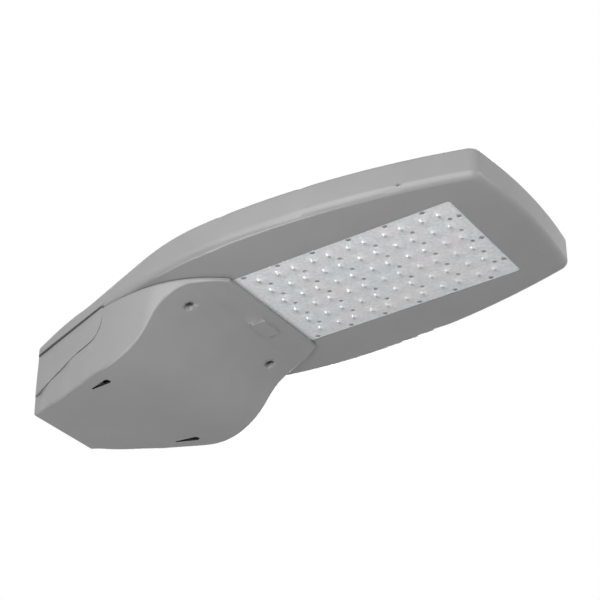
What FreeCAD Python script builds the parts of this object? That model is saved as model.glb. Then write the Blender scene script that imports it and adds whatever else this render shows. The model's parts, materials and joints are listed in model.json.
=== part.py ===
"""Street light head with an LED panel, for a horizontal tubular arm.

The upper housing is one aluminium casting: a finned lamp tray in front and a
necked compartment behind it. The lens panel closes the tray from below. A deep
driver door closes the compartment, hangs on two pins at the arm end and is held
by two captive screws at the lamp end.

The model is drawn with x = 0 at the lens panel's rear edge, +X towards the lamp
end, and z = 0 on the flat underside of the housing. `save` then shifts it, so
the finished part has its origin on the arm's axis, midway between the clamps.
All sizes are millimetres.
"""
import FreeCAD, Part
import math
import os

V = FreeCAD.Vector
X_AXIS = V(1, 0, 0)
Y_AXIS = V(0, 1, 0)
Z_AXIS = V(0, 0, 1)

# Housing outline, seen from below
HEAD_WIDTH = 324.0          # across the widest place
WIDEST_X = 40.0
FRONT_X = 356.0             # middle of the bowed front wall
FRONT_BOW = 9.0
FRONT_WIDTH = 230.0         # across the front corners
FRONT_CORNER_R = 14.0
SHOULDER_R = 650.0          # from the widest place back to the neck
REAR_X = -338.0
REAR_WIDTH = 124.0
REAR_CORNER_R = 7.0         # larger than TOP_R, which runs round it

# Housing side profile
HEAD_TOP = 41.0
NECK_DIP = 24.5             # lowest place of the top, behind the lamp tray
NECK_CROWN = 29.0           # low crown over the arm's socket
NECK_REAR = 26.0
SLOPE_FRONT_X = -10.0       # where the top starts down to the neck
SLOPE_REAR_X = -190.0
CROWN_X = -272.0
RIM_R = 9.0                 # rounded lower rim
TOP_R = 6.0                 # rounded upper edge
WALL = 3.2
SKIN = 3.4                  # flat floor of the tray beside the lens panel
SKIRT_Z = -35.0             # lower edge of the neck's side skirts
SKIRT_REAR_Z = -48.4
SKIRT_KNEE_X = -240.0
SKIRT_KNEE_R = 150.0
SKIRT_FRONT_X = -179.0
SKIRT_FRONT_R = 24.0
SKIRT_LEAN = 2.0            # the skirt's front edge leans forward by this
STEP = 2.4                  # the neck's side is set in by this below its upper band
STEP_FRONT = 1.6            # the same where the step starts
STEP_FRONT_Z = 3.6
STEP_REAR_Z = 11.4

# Cooling fins
FIN_PITCH = 14.0
FIN_T = 3.0
FIN_WALL = 5.0              # casting left outside the fin channels
FIN_START = 2.0             # from the panel's rear edge to the rear end of the fins
DRAIN_X = 258.4
DRAIN_W = 2.6

# Driver door
DOOR_FRONT_X = -4.0
DOOR_FRONT_MARGIN = 7.0     # front corner of the door beyond the lens panel's side
DOOR_SIDE_MARGIN = 12.1     # underside left beside the door's widest place
DOOR_LEAN = 7.0             # how far the lower edge stands in, beside the ramp
DOOR_LEAN_REACH = 100.0     # to where this fades out, on either side of the widest place
DOOR_LIP = 3.0              # upright rim above the leaning side
DOOR_WIDEST_X = -105.0
DOOR_JOIN_X = -175.0        # where the door's side runs into the skirt line
DOOR_GAP = 0.9
LEDGE_FRONT_Z = -5.0
LEDGE_REAR_Z = -6.2
LEDGE_REAR_X = -38.0
BELLY_X = -177.0
BELLY_Z = -85.0
BELLY_REAR_Z = -73.4
RAMP_SHARE = 0.45           # part of the ramp taken by its upper, hollow arc
DOOR_DRAFT = 3.3            # how far the side leans in, rim to belly
DOOR_EDGE_R = 3.0           # rounded lower edge of the door
DOOR_INNER_R = 1.5          # the same inside
DOOR_LIP_R = 1.6            # rounded edge between rim and side
DOOR_WALL = 3.0
RAMP_BACKSET = 2.0          # keeps the wall's thickness on the steep ramp
DOOR_LAP = 9.0              # housing flange that the door's rim closes on
LIP_LENGTH = 12.0           # solid front lip of the door
FINGER_TAB_X = -20.0        # end of the tab next to the lens panel
FINGER_TAB_LENGTH = 21.0
FINGER_TAB_WIDTH = 34.0
FINGER_TAB_Y = 19.0         # the tab stands to one side of the middle
FINGER_TAB_DROP = 2.4
FINGER_TAB_CORNER_R = 3.0

# Slots through the door's belly
SLOT_HEAD_X = -190.0
SLOT_LENGTH = 28.0
SLOT_Y = 92.0
SLOT_TURN = 12.0            # degrees that the slots lean in towards the arm end
SLOT_HEAD_R = 4.6
SLOT_TIP_R = 1.2

# Captive door screws
DOOR_SCREW_X = -70.5
DOOR_SCREW_Y = 86.4
DOOR_SCREW_R = 3.0
DOOR_SCREW_HEAD_R = 5.0
DOOR_SCREW_HEAD_H = 3.6
DOOR_SCREW_GRIP = 6.0       # length held by the housing's boss
DOOR_SEAT_Z = -6.8
DOOR_POCKET_R = 5.8
RETAINER_R = 5.2            # ring that keeps a loosened screw in the door
RETAINER_T = 1.2
RETAINER_CLEARANCE = 0.3
DOOR_BOSS_R = 8.6
HOUSING_BOSS_R = 7.0
SCREW_CLEARANCE = 0.4       # free hole round a screw
THREAD_CLEARANCE = 0.05     # tapped hole round a screw
HEX_SOCKET_R = 1.9

# Hinge at the arm end
HINGE_X = -334.5
HINGE_Z = -53.5
HINGE_PIN_R = 2.2
HINGE_BARREL_R = 3.5
HINGE_CLEARANCE = 0.05
HINGE_GAP = 0.3             # between neighbouring knuckles
HINGE_Y = 44.0              # middle of each door knuckle
HINGE_DOOR_KNUCKLE = 9.4
HINGE_LUG = 5.0
HINGE_SWING_GAP = 0.8       # door wall to the housing's lug

# Arm clamp
ARM_R = 30.15               # arm of 60.3 mm outside diameter
ARM_CLEARANCE = 0.05
ARM_Z = -13.0
ARM_HOLE_CLEARANCE = 1.9
CLAMP_REAR_X = -308.0
CLAMP_FRONT_X = -232.0
CLAMP_LENGTH = 24.0
CLAMP_T = 5.0
BOLT_MARGIN = 11.85         # bolt's centre beyond the arm's side
CLAMP_WING = 10.0           # strap beyond the bolt's centre
CLAMP_CORNER_R = 3.0
CLAMP_GAP = 7.0             # left between the strap and the saddle
SADDLE_LENGTH = 20.0
SADDLE_DROP = 1.0           # saddle below the arm's axis
BOLT_R = 4.0
BOLT_HEAD_AF = 13.0
BOLT_HEAD_H = 5.3
BOLT_GRIP = 16.0
ARM_STOP_X = -204.0
ARM_STOP_T = 4.0
SEAL_T = 2.0                # pliable ring that closes the arm's hole
SEAL_MARGIN = 21.85         # plate beyond the arm's side
SEAL_GAP = 1.2
SEAL_CLEARANCE = 0.6
SEAL_CORNER_R = 6.0

# Lens panel bay
PANEL_REAR_X = -9.0
PANEL_FRONT_X = 296.0
PANEL_WIDTH = 174.0
PANEL_RECESS = 0.6
PANEL_T = 3.0
PANEL_CORNER_R = 4.0
PANEL_CLEARANCE = 0.5
GASKET_T = 1.2
LEDGE_WIDTH = 10.0
BOARD_T = 1.6
LED_H = 1.2
BAY_DEPTH = 12.4
BAY_CORNER_R = 2.0
MODULES = 6
MODULE_PITCH = 50.0
MODULE_GAP = 1.0
FIRST_LED_X = 0.0
LED_PAIR = 22.0             # between the two LED columns of one module
LED_ROWS = 6
LED_MARGIN = 19.5           # outer LED row to the panel's side
LED_SIZE = 3.6
LENS_CUP_R = 5.2
LENS_CUP_FLOOR_R = 3.0
LENS_CUP_DEPTH = 1.8
BOARD_SCREW_OFFSET = 28.5
BOARD_SCREW_R = 1.5
BOARD_SCREW_HEAD_R = 2.6
BOARD_SCREW_HEAD_H = 1.4
BOARD_SCREW_GRIP = 2.4      # length held by the casting above the board
EDGE_SCREW_X = 8.0
EDGE_SCREW_MARGIN = 4.5     # screw's centre to the panel's side
END_SCREW_MARGIN = 5.5      # and to its front edge
EDGE_SCREW_R = 1.5
EDGE_SCREW_HEAD_R = 2.8
EDGE_SCREW_GRIP = 4.0
EDGE_SCREW_HEAD_H = 1.8

# Driver compartment
BULKHEAD_T = 4.0
DRIVER_LENGTH = 150.0
DRIVER_WIDTH = 62.0
DRIVER_HEIGHT = 31.0
DRIVER_FRONT_X = -86.0
DRIVER_TOP_Z = 21.0
DRIVER_EDGE_R = 3.0
DRIVER_FLANGE_T = 2.0
DRIVER_FLANGE_WIDTH = 38.0
DRIVER_FLANGE_LENGTH = 11.0
MOUNT_BOSS_R = 5.0
MOUNT_SCREW_R = 2.0
MOUNT_SCREW_HEAD_R = 3.8
MOUNT_SCREW_HEAD_H = 2.6
MOUNT_SCREW_GRIP = 7.0
SURGE_X = -46.0
SURGE_Y = 62.0
SURGE_R = 16.0
SURGE_HEIGHT = 24.0
SURGE_FOOT = 46.0
FOOT_T = 3.0                # screwed-down feet of the small devices
FOOT_CORNER_R = 3.0
SURGE_TOP_Z = 33.0
BLOCK_X = -46.0
BLOCK_Y = -14.0
BLOCK_WIDTH = 60.0
BLOCK_DEPTH = 24.0
BLOCK_HEIGHT = 17.0
BLOCK_TOP_Z = 33.0
BLOCK_POLES = 3
BLOCK_SCREW_R = 3.4
BLOCK_SCREW_DEPTH = 4.0
GROMMET_MARGIN = 21.0       # grommet's centre to the panel's side
GROMMET_Z = 8.7
GROMMET_R = 3.3
GROMMET_FLANGE_R = 4.8
GROMMET_FLANGE_T = 1.4
GROMMET_BORE_R = 1.9
EAR_MARGIN = 1.0            # foot left round a mounting screw's head
GROUND_X = -46.0
GROUND_Y = -84.0
GROUND_BOSS_Z = 30.0

# Construction
OVERRUN = 20.0              # trimming profiles and cutters run this far past the casting
CUT = 1.0                   # a drill starts this far outside the face it enters
TAP_RUNOUT = 0.5            # a tapped hole is deeper than its screw by this
LEDGE_SECTIONS = 4          # sections of the door's form, stretch by stretch
RAMP_SECTIONS = 9
BELLY_SECTIONS = 7

ORIGIN = V((CLAMP_REAR_X + CLAMP_FRONT_X) / 2, 0, ARM_Z)


def save(node, solids):
    """Write one node, moved so that the arm clamps' middle is the origin."""
    shape = solids[0] if len(solids) == 1 else Part.makeCompound(solids)
    shape = shape.copy()
    shape.translate(ORIGIN * -1)
    shape.exportStep("parts/" + node + ".step")
    volume = sum(s.Volume for s in shape.Solids)
    print(node, len(shape.Solids), round(volume, 1), shape.isValid())


def box(x0, x1, y0, y1, z0, z1):
    """Solid box between two opposite corners."""
    return Part.makeBox(x1 - x0, y1 - y0, z1 - z0, V(x0, y0, z0))


def rod(radius, start, direction, length):
    """Cylinder from a start point along a direction."""
    return Part.makeCylinder(radius, length, start, direction)


def line(a, b):
    return Part.LineSegment(a, b).toShape()


def tangent_arc(start, tangent, end):
    """Arc that leaves `start` along `tangent` and ends at `end`."""
    chord = end - start
    half_turn = tangent.getAngle(chord)
    axis = tangent.cross(chord)
    heading = FreeCAD.Rotation(axis, math.degrees(half_turn / 2)).multVec(tangent)
    middle = start + heading.normalize() * (chord.Length / 2 / math.cos(half_turn / 2))
    return Part.Arc(start, middle, end).toShape()


def s_curve(start, end):
    """Two equal arcs from `start` to `end`, level at both ends."""
    middle = (start + end) / 2
    level = V(end.x - start.x, 0, 0).normalize()
    return [tangent_arc(start, level, middle), tangent_arc(end, level * -1, middle)]


def rounded_wire(corners):
    """Closed wire of straight runs; each corner is a point and its radius."""
    ends = []
    arcs = []
    count = len(corners)
    for i, (point, radius) in enumerate(corners):
        to_last = (corners[i - 1][0] - point).normalize()
        to_next = (corners[(i + 1) % count][0] - point).normalize()
        if radius == 0:
            ends.append((point, point))
            continue
        half_angle = to_last.getAngle(to_next) / 2
        reach = radius / math.tan(half_angle)
        inward = (to_last + to_next).normalize()
        middle = point + inward * (radius / math.sin(half_angle) - radius)
        first = point + to_last * reach
        second = point + to_next * reach
        arcs.append(Part.Arc(first, middle, second).toShape())
        ends.append((first, second))
    runs = [line(ends[i][1], ends[(i + 1) % count][0]) for i in range(count)]
    return Part.Wire(Part.__sortEdges__(arcs + runs))


def plate(corners, direction):
    """Solid from a rounded outline, pushed along a direction."""
    return Part.Face(rounded_wire(corners)).extrude(direction)


def rounded_box(x0, x1, y0, y1, z0, z1, radius):
    """Box with rounded upright corners."""
    corners = [(V(x0, y0, z0), radius), (V(x1, y0, z0), radius),
               (V(x1, y1, z0), radius), (V(x0, y1, z0), radius)]
    return plate(corners, V(0, 0, z1 - z0))


def upright_edges(solid, x, y, reach=3.0):
    """Vertical edges that stand near a place of the plan, on either side."""
    found = []
    for edge in solid.Edges:
        a = edge.Vertexes[0].Point
        b = edge.Vertexes[-1].Point
        vertical = abs(a.x - b.x) < 0.01 and abs(a.y - b.y) < 0.01 and abs(a.z - b.z) > 1
        if vertical and abs(a.x - x) < reach and abs(abs(a.y) - y) < reach:
            found.append(edge)
    return found


def both_sides(y):
    """The two mirrored places of a pair."""
    return (-y, y)


# Plan of the housing

def shoulder_centre():
    return V(WIDEST_X, HEAD_WIDTH / 2 - SHOULDER_R, 0)


def shoulder_y(x):
    """Half width of the housing on the shoulder's arc."""
    centre = shoulder_centre()
    return centre.y + math.sqrt(SHOULDER_R ** 2 - (x - centre.x) ** 2)


def shoulder_end():
    """Where the straight side of the neck leaves the shoulder's arc."""
    centre = shoulder_centre()
    rear = V(REAR_X, REAR_WIDTH / 2, 0)
    away = rear - centre
    swing = math.acos(SHOULDER_R / away.Length)
    angle = math.atan2(away.y, away.x) - swing
    return centre + V(math.cos(angle), math.sin(angle), 0) * SHOULDER_R


def head_half():
    """Edges of one side of the housing, from the front corner to the arm end."""
    front = V(FRONT_X - FRONT_BOW, FRONT_WIDTH / 2, 0)
    widest = V(WIDEST_X, HEAD_WIDTH / 2, 0)
    neck = shoulder_end()
    rear = V(REAR_X, REAR_WIDTH / 2, 0)
    return [tangent_arc(widest, X_AXIS, front),
            tangent_arc(widest, X_AXIS * -1, neck),
            line(neck, rear)]


def mirrored(edge):
    return edge.mirror(V(0, 0, 0), Y_AXIS)


def head_face(inset=0.0):
    """Plan of the housing, drawn in by `inset` all round."""
    corner = V(FRONT_X - FRONT_BOW, FRONT_WIDTH / 2, 0)
    rear = V(REAR_X, REAR_WIDTH / 2, 0)
    front = Part.Arc(V(corner.x, -corner.y, 0), V(FRONT_X, 0, 0), corner).toShape()
    side = head_half()
    edges = [front, line(rear, V(rear.x, -rear.y, 0))] + side + [mirrored(e) for e in side]
    face = Part.Face(Part.Wire(Part.__sortEdges__(edges)))
    return face.makeOffset2D(-inset) if inset else face


def head_prism(inset, low, high):
    """Upright solid of the housing's plan between two heights."""
    face = head_face(inset)
    face.translate(V(0, 0, low))
    return face.extrude(V(0, 0, high - low))


def head_profile(drop, low):
    """Side view of the housing's top, lowered by `drop` and closed at `low`."""
    front = V(FRONT_X + OVERRUN, 0, HEAD_TOP - drop)
    slope = V(SLOPE_FRONT_X, 0, HEAD_TOP - drop)
    dip = V(SLOPE_REAR_X, 0, NECK_DIP - drop)
    crown = V(CROWN_X, 0, NECK_CROWN - drop)
    end = V(REAR_X, 0, NECK_REAR - drop)
    edges = [line(front, slope)] + s_curve(slope, dip) + s_curve(dip, crown)
    edges += [tangent_arc(crown, X_AXIS * -1, end), line(end, V(end.x, 0, low)),
              line(V(end.x, 0, low), V(front.x, 0, low)), line(V(front.x, 0, low), front)]
    return across(Part.Face(Part.Wire(Part.__sortEdges__(edges))))


def across(face):
    """Side view pushed right across the housing."""
    face = face.copy()
    face.translate(V(0, -HEAD_WIDTH, 0))
    return face.extrude(V(0, 2 * HEAD_WIDTH, 0))


def seam_corners(gap):
    """The skirt's lower edge from the arm end to the underside, moved out by `gap`."""
    slope = (SKIRT_Z - SKIRT_REAR_Z) / (SKIRT_KNEE_X - REAR_X)
    return [(V(REAR_X - OVERRUN, 0, SKIRT_REAR_Z - slope * OVERRUN - gap), 0),
            (V(SKIRT_KNEE_X, 0, SKIRT_Z - gap), SKIRT_KNEE_R),
            (V(SKIRT_FRONT_X + gap, 0, SKIRT_Z - gap), SKIRT_FRONT_R),
            (V(SKIRT_FRONT_X + SKIRT_LEAN + gap, 0, -gap), 0)]


def above_seam():
    """Everything above the underside and the skirt's lower edge."""
    top = HEAD_TOP + OVERRUN
    corners = seam_corners(0) + [(V(FRONT_X + OVERRUN, 0, 0), 0),
                                 (V(FRONT_X + OVERRUN, 0, top), 0),
                                 (V(REAR_X - OVERRUN, 0, top), 0)]
    return across(Part.Face(rounded_wire(corners)))


def below_seam():
    """Everything below the same line, less the door's gap."""
    low = BELLY_Z - OVERRUN
    corners = seam_corners(DOOR_GAP) + [(V(FRONT_X, 0, -DOOR_GAP), 0),
                                        (V(FRONT_X, 0, low), 0),
                                        (V(REAR_X - OVERRUN, 0, low), 0)]
    return across(Part.Face(rounded_wire(corners)))


# Form of the door

def spread(first, last, count):
    """Evenly spaced places between two ends, both included."""
    return [first + (last - first) * k / (count - 1) for k in range(count)]


def arc_drop(reach, end_reach, end_drop):
    """How far an arc, level at its start, has dropped after `reach`."""
    radius = (end_reach ** 2 + end_drop ** 2) / (2 * end_drop)
    return radius - math.sqrt(radius ** 2 - reach ** 2)


def door_widest():
    """Half width of the door's rim at its widest place."""
    return shoulder_y(DOOR_WIDEST_X) - DOOR_SIDE_MARGIN


def door_half_width(x):
    """Half width of the door's rim: flared front, then the line of the housing."""
    widest = door_widest()
    if x > DOOR_WIDEST_X:
        flare = widest - PANEL_WIDTH / 2 - DOOR_FRONT_MARGIN
        return widest - arc_drop(x - DOOR_WIDEST_X, DOOR_FRONT_X - DOOR_WIDEST_X, flare)
    if x > DOOR_JOIN_X:
        taper = widest - shoulder_y(DOOR_JOIN_X)
        return widest - arc_drop(DOOR_WIDEST_X - x, DOOR_WIDEST_X - DOOR_JOIN_X, taper)
    neck = shoulder_end()
    if x > neck.x:
        return shoulder_y(x)
    slope = (neck.y - REAR_WIDTH / 2) / (neck.x - REAR_X)
    return REAR_WIDTH / 2 + slope * (x - REAR_X)


def door_lean(x):
    """How far the lower edge stands in beside the ramp: a smooth wave's crest."""
    away = min(abs(x - DOOR_WIDEST_X) / DOOR_LEAN_REACH, 1.0)
    return DOOR_LEAN * (1 + math.cos(math.pi * away)) / 2


def door_depth(x):
    """Depth of the door's underside: flat ledge, steep ramp, long shallow belly."""
    ramp = LEDGE_REAR_X - BELLY_X
    fall = LEDGE_REAR_Z - BELLY_Z
    lower = 1 - RAMP_SHARE
    if x > LEDGE_REAR_X:
        along = (DOOR_FRONT_X - x) / (DOOR_FRONT_X - LEDGE_REAR_X)
        return -LEDGE_FRONT_Z + (LEDGE_FRONT_Z - LEDGE_REAR_Z) * along
    if x > LEDGE_REAR_X - ramp * RAMP_SHARE:
        return -LEDGE_REAR_Z + arc_drop(LEDGE_REAR_X - x, ramp * RAMP_SHARE, fall * RAMP_SHARE)
    if x > BELLY_X:
        return -BELLY_Z - arc_drop(x - BELLY_X, ramp * lower, fall * lower)
    return -BELLY_Z - arc_drop(BELLY_X - x, BELLY_X - REAR_X, BELLY_REAR_Z - BELLY_Z)


def rear_corner_cutters():
    """What lies outside the rounded upright corners at the arm end."""
    neck = shoulder_end()
    slope = (neck.y - REAR_WIDTH / 2) / (neck.x - REAR_X)
    out = V(-slope, 1, 0).normalize()
    radius = REAR_CORNER_R
    centre = V(REAR_X + radius, REAR_WIDTH / 2 + slope * radius - radius / out.y, 2 * BELLY_Z)
    cutters = []
    for side in (-1, 1):
        corners = [centre, centre - X_AXIS * 2 * radius,
                   V(REAR_X - radius, REAR_WIDTH / 2 + radius, centre.z),
                   centre + out * 2 * radius]
        points = [V(p.x, side * p.y, p.z) for p in corners + corners[:1]]
        block = Part.Face(Part.makePolygon(points)).extrude(V(0, 0, -3 * BELLY_Z))
        cutters.append(block.cut(rod(radius, V(centre.x, side * centre.y, centre.z), Z_AXIS,
                                     -3 * BELLY_Z)))
    return cutters


def door_section(x, inset, lift, top):
    """Section of the door across its length, drawn in by its wall for the inside."""
    depth = door_depth(x + RAMP_BACKSET if lift else x) - lift
    half = door_half_width(x) - inset
    low_half = half - door_lean(x) - DOOR_DRAFT * depth / -BELLY_Z
    lip = DOOR_LIP - lift
    edge = min(DOOR_INNER_R if lift else DOOR_EDGE_R, (depth - lip) / 2)
    lip_edge = min(DOOR_LIP_R, (depth - lip) / 2)
    return rounded_wire([(V(x, -half, top), 0), (V(x, half, top), 0),
                         (V(x, half, -lip), lip_edge), (V(x, low_half, -depth), edge),
                         (V(x, -low_half, -depth), edge), (V(x, -half, -lip), lip_edge)])


def door_form(front_x, rear_x, inset, lift, top):
    """Smooth body through sections along the ledge, the ramp and the belly."""
    places = spread(front_x, LEDGE_REAR_X, LEDGE_SECTIONS)
    places += spread(LEDGE_REAR_X, BELLY_X, RAMP_SECTIONS)[1:]
    places += spread(BELLY_X, rear_x, BELLY_SECTIONS)[1:]
    return Part.makeLoft([door_section(x, inset, lift, top) for x in places], True, False)


# Pieces of the housing

def housing_body():
    """Outer form of the casting with its rounded corners, rim and upper edge."""
    body = head_prism(0, BELLY_Z, HEAD_TOP + RIM_R)
    body = body.makeFillet(FRONT_CORNER_R,
                           upright_edges(body, FRONT_X - FRONT_BOW, FRONT_WIDTH / 2))
    body = body.makeFillet(REAR_CORNER_R, upright_edges(body, REAR_X, REAR_WIDTH / 2))
    body = body.common(head_profile(0, BELLY_Z)).common(above_seam())
    return round_outline(round_outline(body, 0.0, RIM_R), HEAD_TOP, TOP_R)


def round_outline(solid, z, radius):
    """Round the outer edge that lies at one height of the lamp tray."""
    edges = []
    for edge in solid.Edges:
        bounds = edge.BoundBox
        level = abs(bounds.ZMin - z) < 0.01 and abs(bounds.ZMax - z) < 0.01
        along_y = bounds.XLength < 0.01
        if level and not along_y and edge.Length > 1:
            edges.append(edge)
    return solid.makeFillet(radius, edges)


def door_opening():
    """Hole in the flat flange above the door, smaller than the door by the lap."""
    front_x = PANEL_REAR_X - PANEL_CLEARANCE - BULKHEAD_T
    front = V(front_x, door_half_width(front_x) - DOOR_LAP, -CUT)
    widest = V(DOOR_WIDEST_X, door_widest() - DOOR_LAP, -CUT)
    join = V(DOOR_JOIN_X, shoulder_y(DOOR_JOIN_X) - DOOR_LAP, -CUT)
    side = [tangent_arc(widest, X_AXIS, front), tangent_arc(widest, X_AXIS * -1, join)]
    ends = [line(end, V(end.x, -end.y, end.z)) for end in (front, join)]
    edges = side + [mirrored(e) for e in side] + ends
    return Part.Face(Part.Wire(Part.__sortEdges__(edges))).extrude(V(0, 0, SKIN + 2 * CUT))


def compartment():
    """Space above the door: full width above the flange, the door's plan below it."""
    roof = head_profile(SKIN, BELLY_Z)
    front_x = PANEL_REAR_X - PANEL_CLEARANCE - BULKHEAD_T
    behind = box(REAR_X, front_x, -HEAD_WIDTH, HEAD_WIDTH, BELLY_Z, HEAD_TOP)
    upper = head_prism(WALL, SKIN, HEAD_TOP).common(roof).common(behind)
    opening = door_opening()
    skirt = head_prism(WALL, BELLY_Z, SKIN + CUT)
    skirt = skirt.common(box(REAR_X, DOOR_JOIN_X, -HEAD_WIDTH, HEAD_WIDTH, BELLY_Z,
                             SKIN + CUT))
    return upper.fuse([opening, skirt])


def panel_bay():
    """Stepped recess for the lens panel, its gasket and the boards."""
    half = PANEL_WIDTH / 2 + PANEL_CLEARANCE
    ledge_z = PANEL_RECESS + PANEL_T + GASKET_T
    outer = rounded_box(PANEL_REAR_X - PANEL_CLEARANCE, PANEL_FRONT_X + PANEL_CLEARANCE,
                        -half, half, -CUT, ledge_z, PANEL_CORNER_R)
    inner_half = PANEL_WIDTH / 2 - LEDGE_WIDTH
    inner = rounded_box(PANEL_REAR_X + LEDGE_WIDTH / 2, PANEL_FRONT_X - LEDGE_WIDTH,
                        -inner_half, inner_half, ledge_z - CUT, BAY_DEPTH, BAY_CORNER_R)
    return [outer, inner]


def fin_channels():
    """Open channels between the fins, deeper beside and ahead of the panel bay."""
    field = head_prism(FIN_WALL, SKIN, HEAD_TOP + CUT)
    rear_x = PANEL_REAR_X + FIN_START
    field = field.common(box(rear_x, FRONT_X, -HEAD_WIDTH, HEAD_WIDTH, SKIN,
                             HEAD_TOP + CUT))
    deep = PANEL_WIDTH / 2 + PANEL_CLEARANCE + SKIN
    bay_front = PANEL_FRONT_X + PANEL_CLEARANCE + SKIN
    block = box(rear_x - CUT, bay_front, -deep, deep, 0, BAY_DEPTH + SKIN)
    field = field.cut(block)
    count = int(HEAD_WIDTH / 2 / FIN_PITCH)
    fins = [box(rear_x - CUT, FRONT_X, k * FIN_PITCH - FIN_T / 2, k * FIN_PITCH + FIN_T / 2,
                0, HEAD_TOP + 2 * CUT) for k in range(-count, count + 1)]
    return field.cut(fins)


def step_section(x, side, depth, z, low):
    """Section of what the neck's side loses below its upper band: a quarter round
    under the band, then a face that runs out again at the skirt's lower edge."""
    y = door_half_width(x)
    far = y + STEP
    band = V(x, side * y, z + depth)
    inner = V(x, side * (y - depth), z)
    foot = V(x, side * y, low)
    middle = V(x, side * (y - depth + depth * math.sin(math.pi / 4)),
               z + depth - depth * math.cos(math.pi / 4))
    edges = [Part.Arc(band, middle, inner).toShape(), line(inner, foot),
             line(foot, V(x, side * far, low)),
             line(V(x, side * far, low), V(x, side * far, band.z)),
             line(V(x, side * far, band.z), band)]
    return Part.Wire(edges)


def neck_steps():
    """The set-in sides of the neck, under a band that rises towards the arm end."""
    front_x = SKIRT_FRONT_X + SKIRT_LEAN
    rear_x = REAR_X - CUT
    steps = []
    for side in (-1, 1):
        sections = [step_section(rear_x, side, STEP, STEP_REAR_Z, SKIRT_REAR_Z),
                    step_section(front_x, side, STEP_FRONT, STEP_FRONT_Z, SKIRT_Z)]
        steps.append(Part.makeLoft(sections, True, True))
    return steps


def roof_z(x):
    """Height of the compartment's roof at a place."""
    low = NECK_DIP - SKIN
    high = HEAD_TOP - SKIN
    run = SLOPE_FRONT_X - SLOPE_REAR_X
    drop = high - low
    radius = (run ** 2 + drop ** 2) / (4 * drop)
    along = min(max(x - SLOPE_REAR_X, 0.0), run)
    if along < run / 2:
        return low + radius - math.sqrt(radius ** 2 - along ** 2)
    return high - radius + math.sqrt(radius ** 2 - (run - along) ** 2)


def roof_boss(x, y, radius, bottom):
    """Round post hanging from the compartment's roof."""
    return rod(radius, V(x, y, bottom), Z_AXIS, roof_z(x) - bottom + SKIN / 2)


def saddle(x):
    """Cross rib that the arm is clamped against, with a boss for each bolt."""
    half = ARM_R + BOLT_MARGIN + CLAMP_WING
    bottom = ARM_Z - SADDLE_DROP
    top = NECK_DIP
    rib = box(x - SADDLE_LENGTH / 2, x + SADDLE_LENGTH / 2, -half, half, bottom, top)
    rib = rib.common(head_prism(WALL / 2, bottom, top))
    return rib.cut(rod(ARM_R + ARM_CLEARANCE, V(x - SADDLE_LENGTH, 0, ARM_Z), X_AXIS,
                       2 * SADDLE_LENGTH))


def bolt_places():
    return [(x, y) for x in (CLAMP_REAR_X, CLAMP_FRONT_X) for y in both_sides(ARM_R + BOLT_MARGIN)]


def driver_screw_places():
    middle = DRIVER_FRONT_X - DRIVER_WIDTH / 2
    y = DRIVER_LENGTH / 2 + DRIVER_FLANGE_LENGTH / 2
    return [(middle, side) for side in both_sides(y)]


def surge_screw_places():
    reach = SURGE_FOOT / 2 - MOUNT_SCREW_HEAD_R
    return [(SURGE_X, SURGE_Y - reach), (SURGE_X, SURGE_Y + reach)]


def block_screw_places():
    reach = (BLOCK_WIDTH - block_ear()) / 2
    return [(BLOCK_X, BLOCK_Y - reach), (BLOCK_X, BLOCK_Y + reach)]


def block_ear():
    """Length of the terminal block's foot at each end."""
    return 2 * (MOUNT_SCREW_HEAD_R + EAR_MARGIN)


def hinge_lugs():
    """Two pairs of knuckles under the housing's rear wall."""
    lugs = []
    for side in both_sides(HINGE_Y):
        for step in (-1, 1):
            inner = side + step * (HINGE_DOOR_KNUCKLE / 2 + HINGE_GAP)
            low, high = sorted((inner, inner + step * HINGE_LUG))
            root = box(REAR_X, REAR_X + WALL, low, high, HINGE_Z, SKIRT_REAR_Z + WALL)
            barrel = rod(HINGE_BARREL_R, V(HINGE_X, low, HINGE_Z), Y_AXIS, high - low)
            lugs.append(root.fuse(barrel))
    return lugs


def hinge_bores():
    reach = HINGE_DOOR_KNUCKLE / 2 + HINGE_GAP + HINGE_LUG + CUT
    return [rod(HINGE_PIN_R + HINGE_CLEARANCE, V(HINGE_X, side - reach, HINGE_Z), Y_AXIS,
                2 * reach) for side in both_sides(HINGE_Y)]


def upper_housing():
    """The aluminium casting that carries everything else."""
    body = housing_body().cut([compartment()] + panel_bay())
    body = body.cut([fin_channels()] + neck_steps())
    stop = box(ARM_STOP_X, ARM_STOP_X + ARM_STOP_T, -ARM_R, ARM_R, ARM_Z, NECK_DIP - SKIN / 2)
    posts = [stop, saddle(CLAMP_REAR_X), saddle(CLAMP_FRONT_X)]
    for y in both_sides(DOOR_SCREW_Y):
        posts.append(roof_boss(DOOR_SCREW_X, y, HOUSING_BOSS_R, 0))
    for x, y in driver_screw_places():
        posts.append(roof_boss(x, y, MOUNT_BOSS_R, DRIVER_TOP_Z))
    for x, y in surge_screw_places():
        posts.append(roof_boss(x, y, MOUNT_BOSS_R, SURGE_TOP_Z))
    for x, y in block_screw_places():
        posts.append(roof_boss(x, y, MOUNT_BOSS_R, BLOCK_TOP_Z))
    posts.append(roof_boss(GROUND_X, GROUND_Y, MOUNT_BOSS_R, GROUND_BOSS_Z))
    body = body.fuse(posts + hinge_lugs())
    return body.cut(housing_holes()).removeSplitter()


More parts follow.
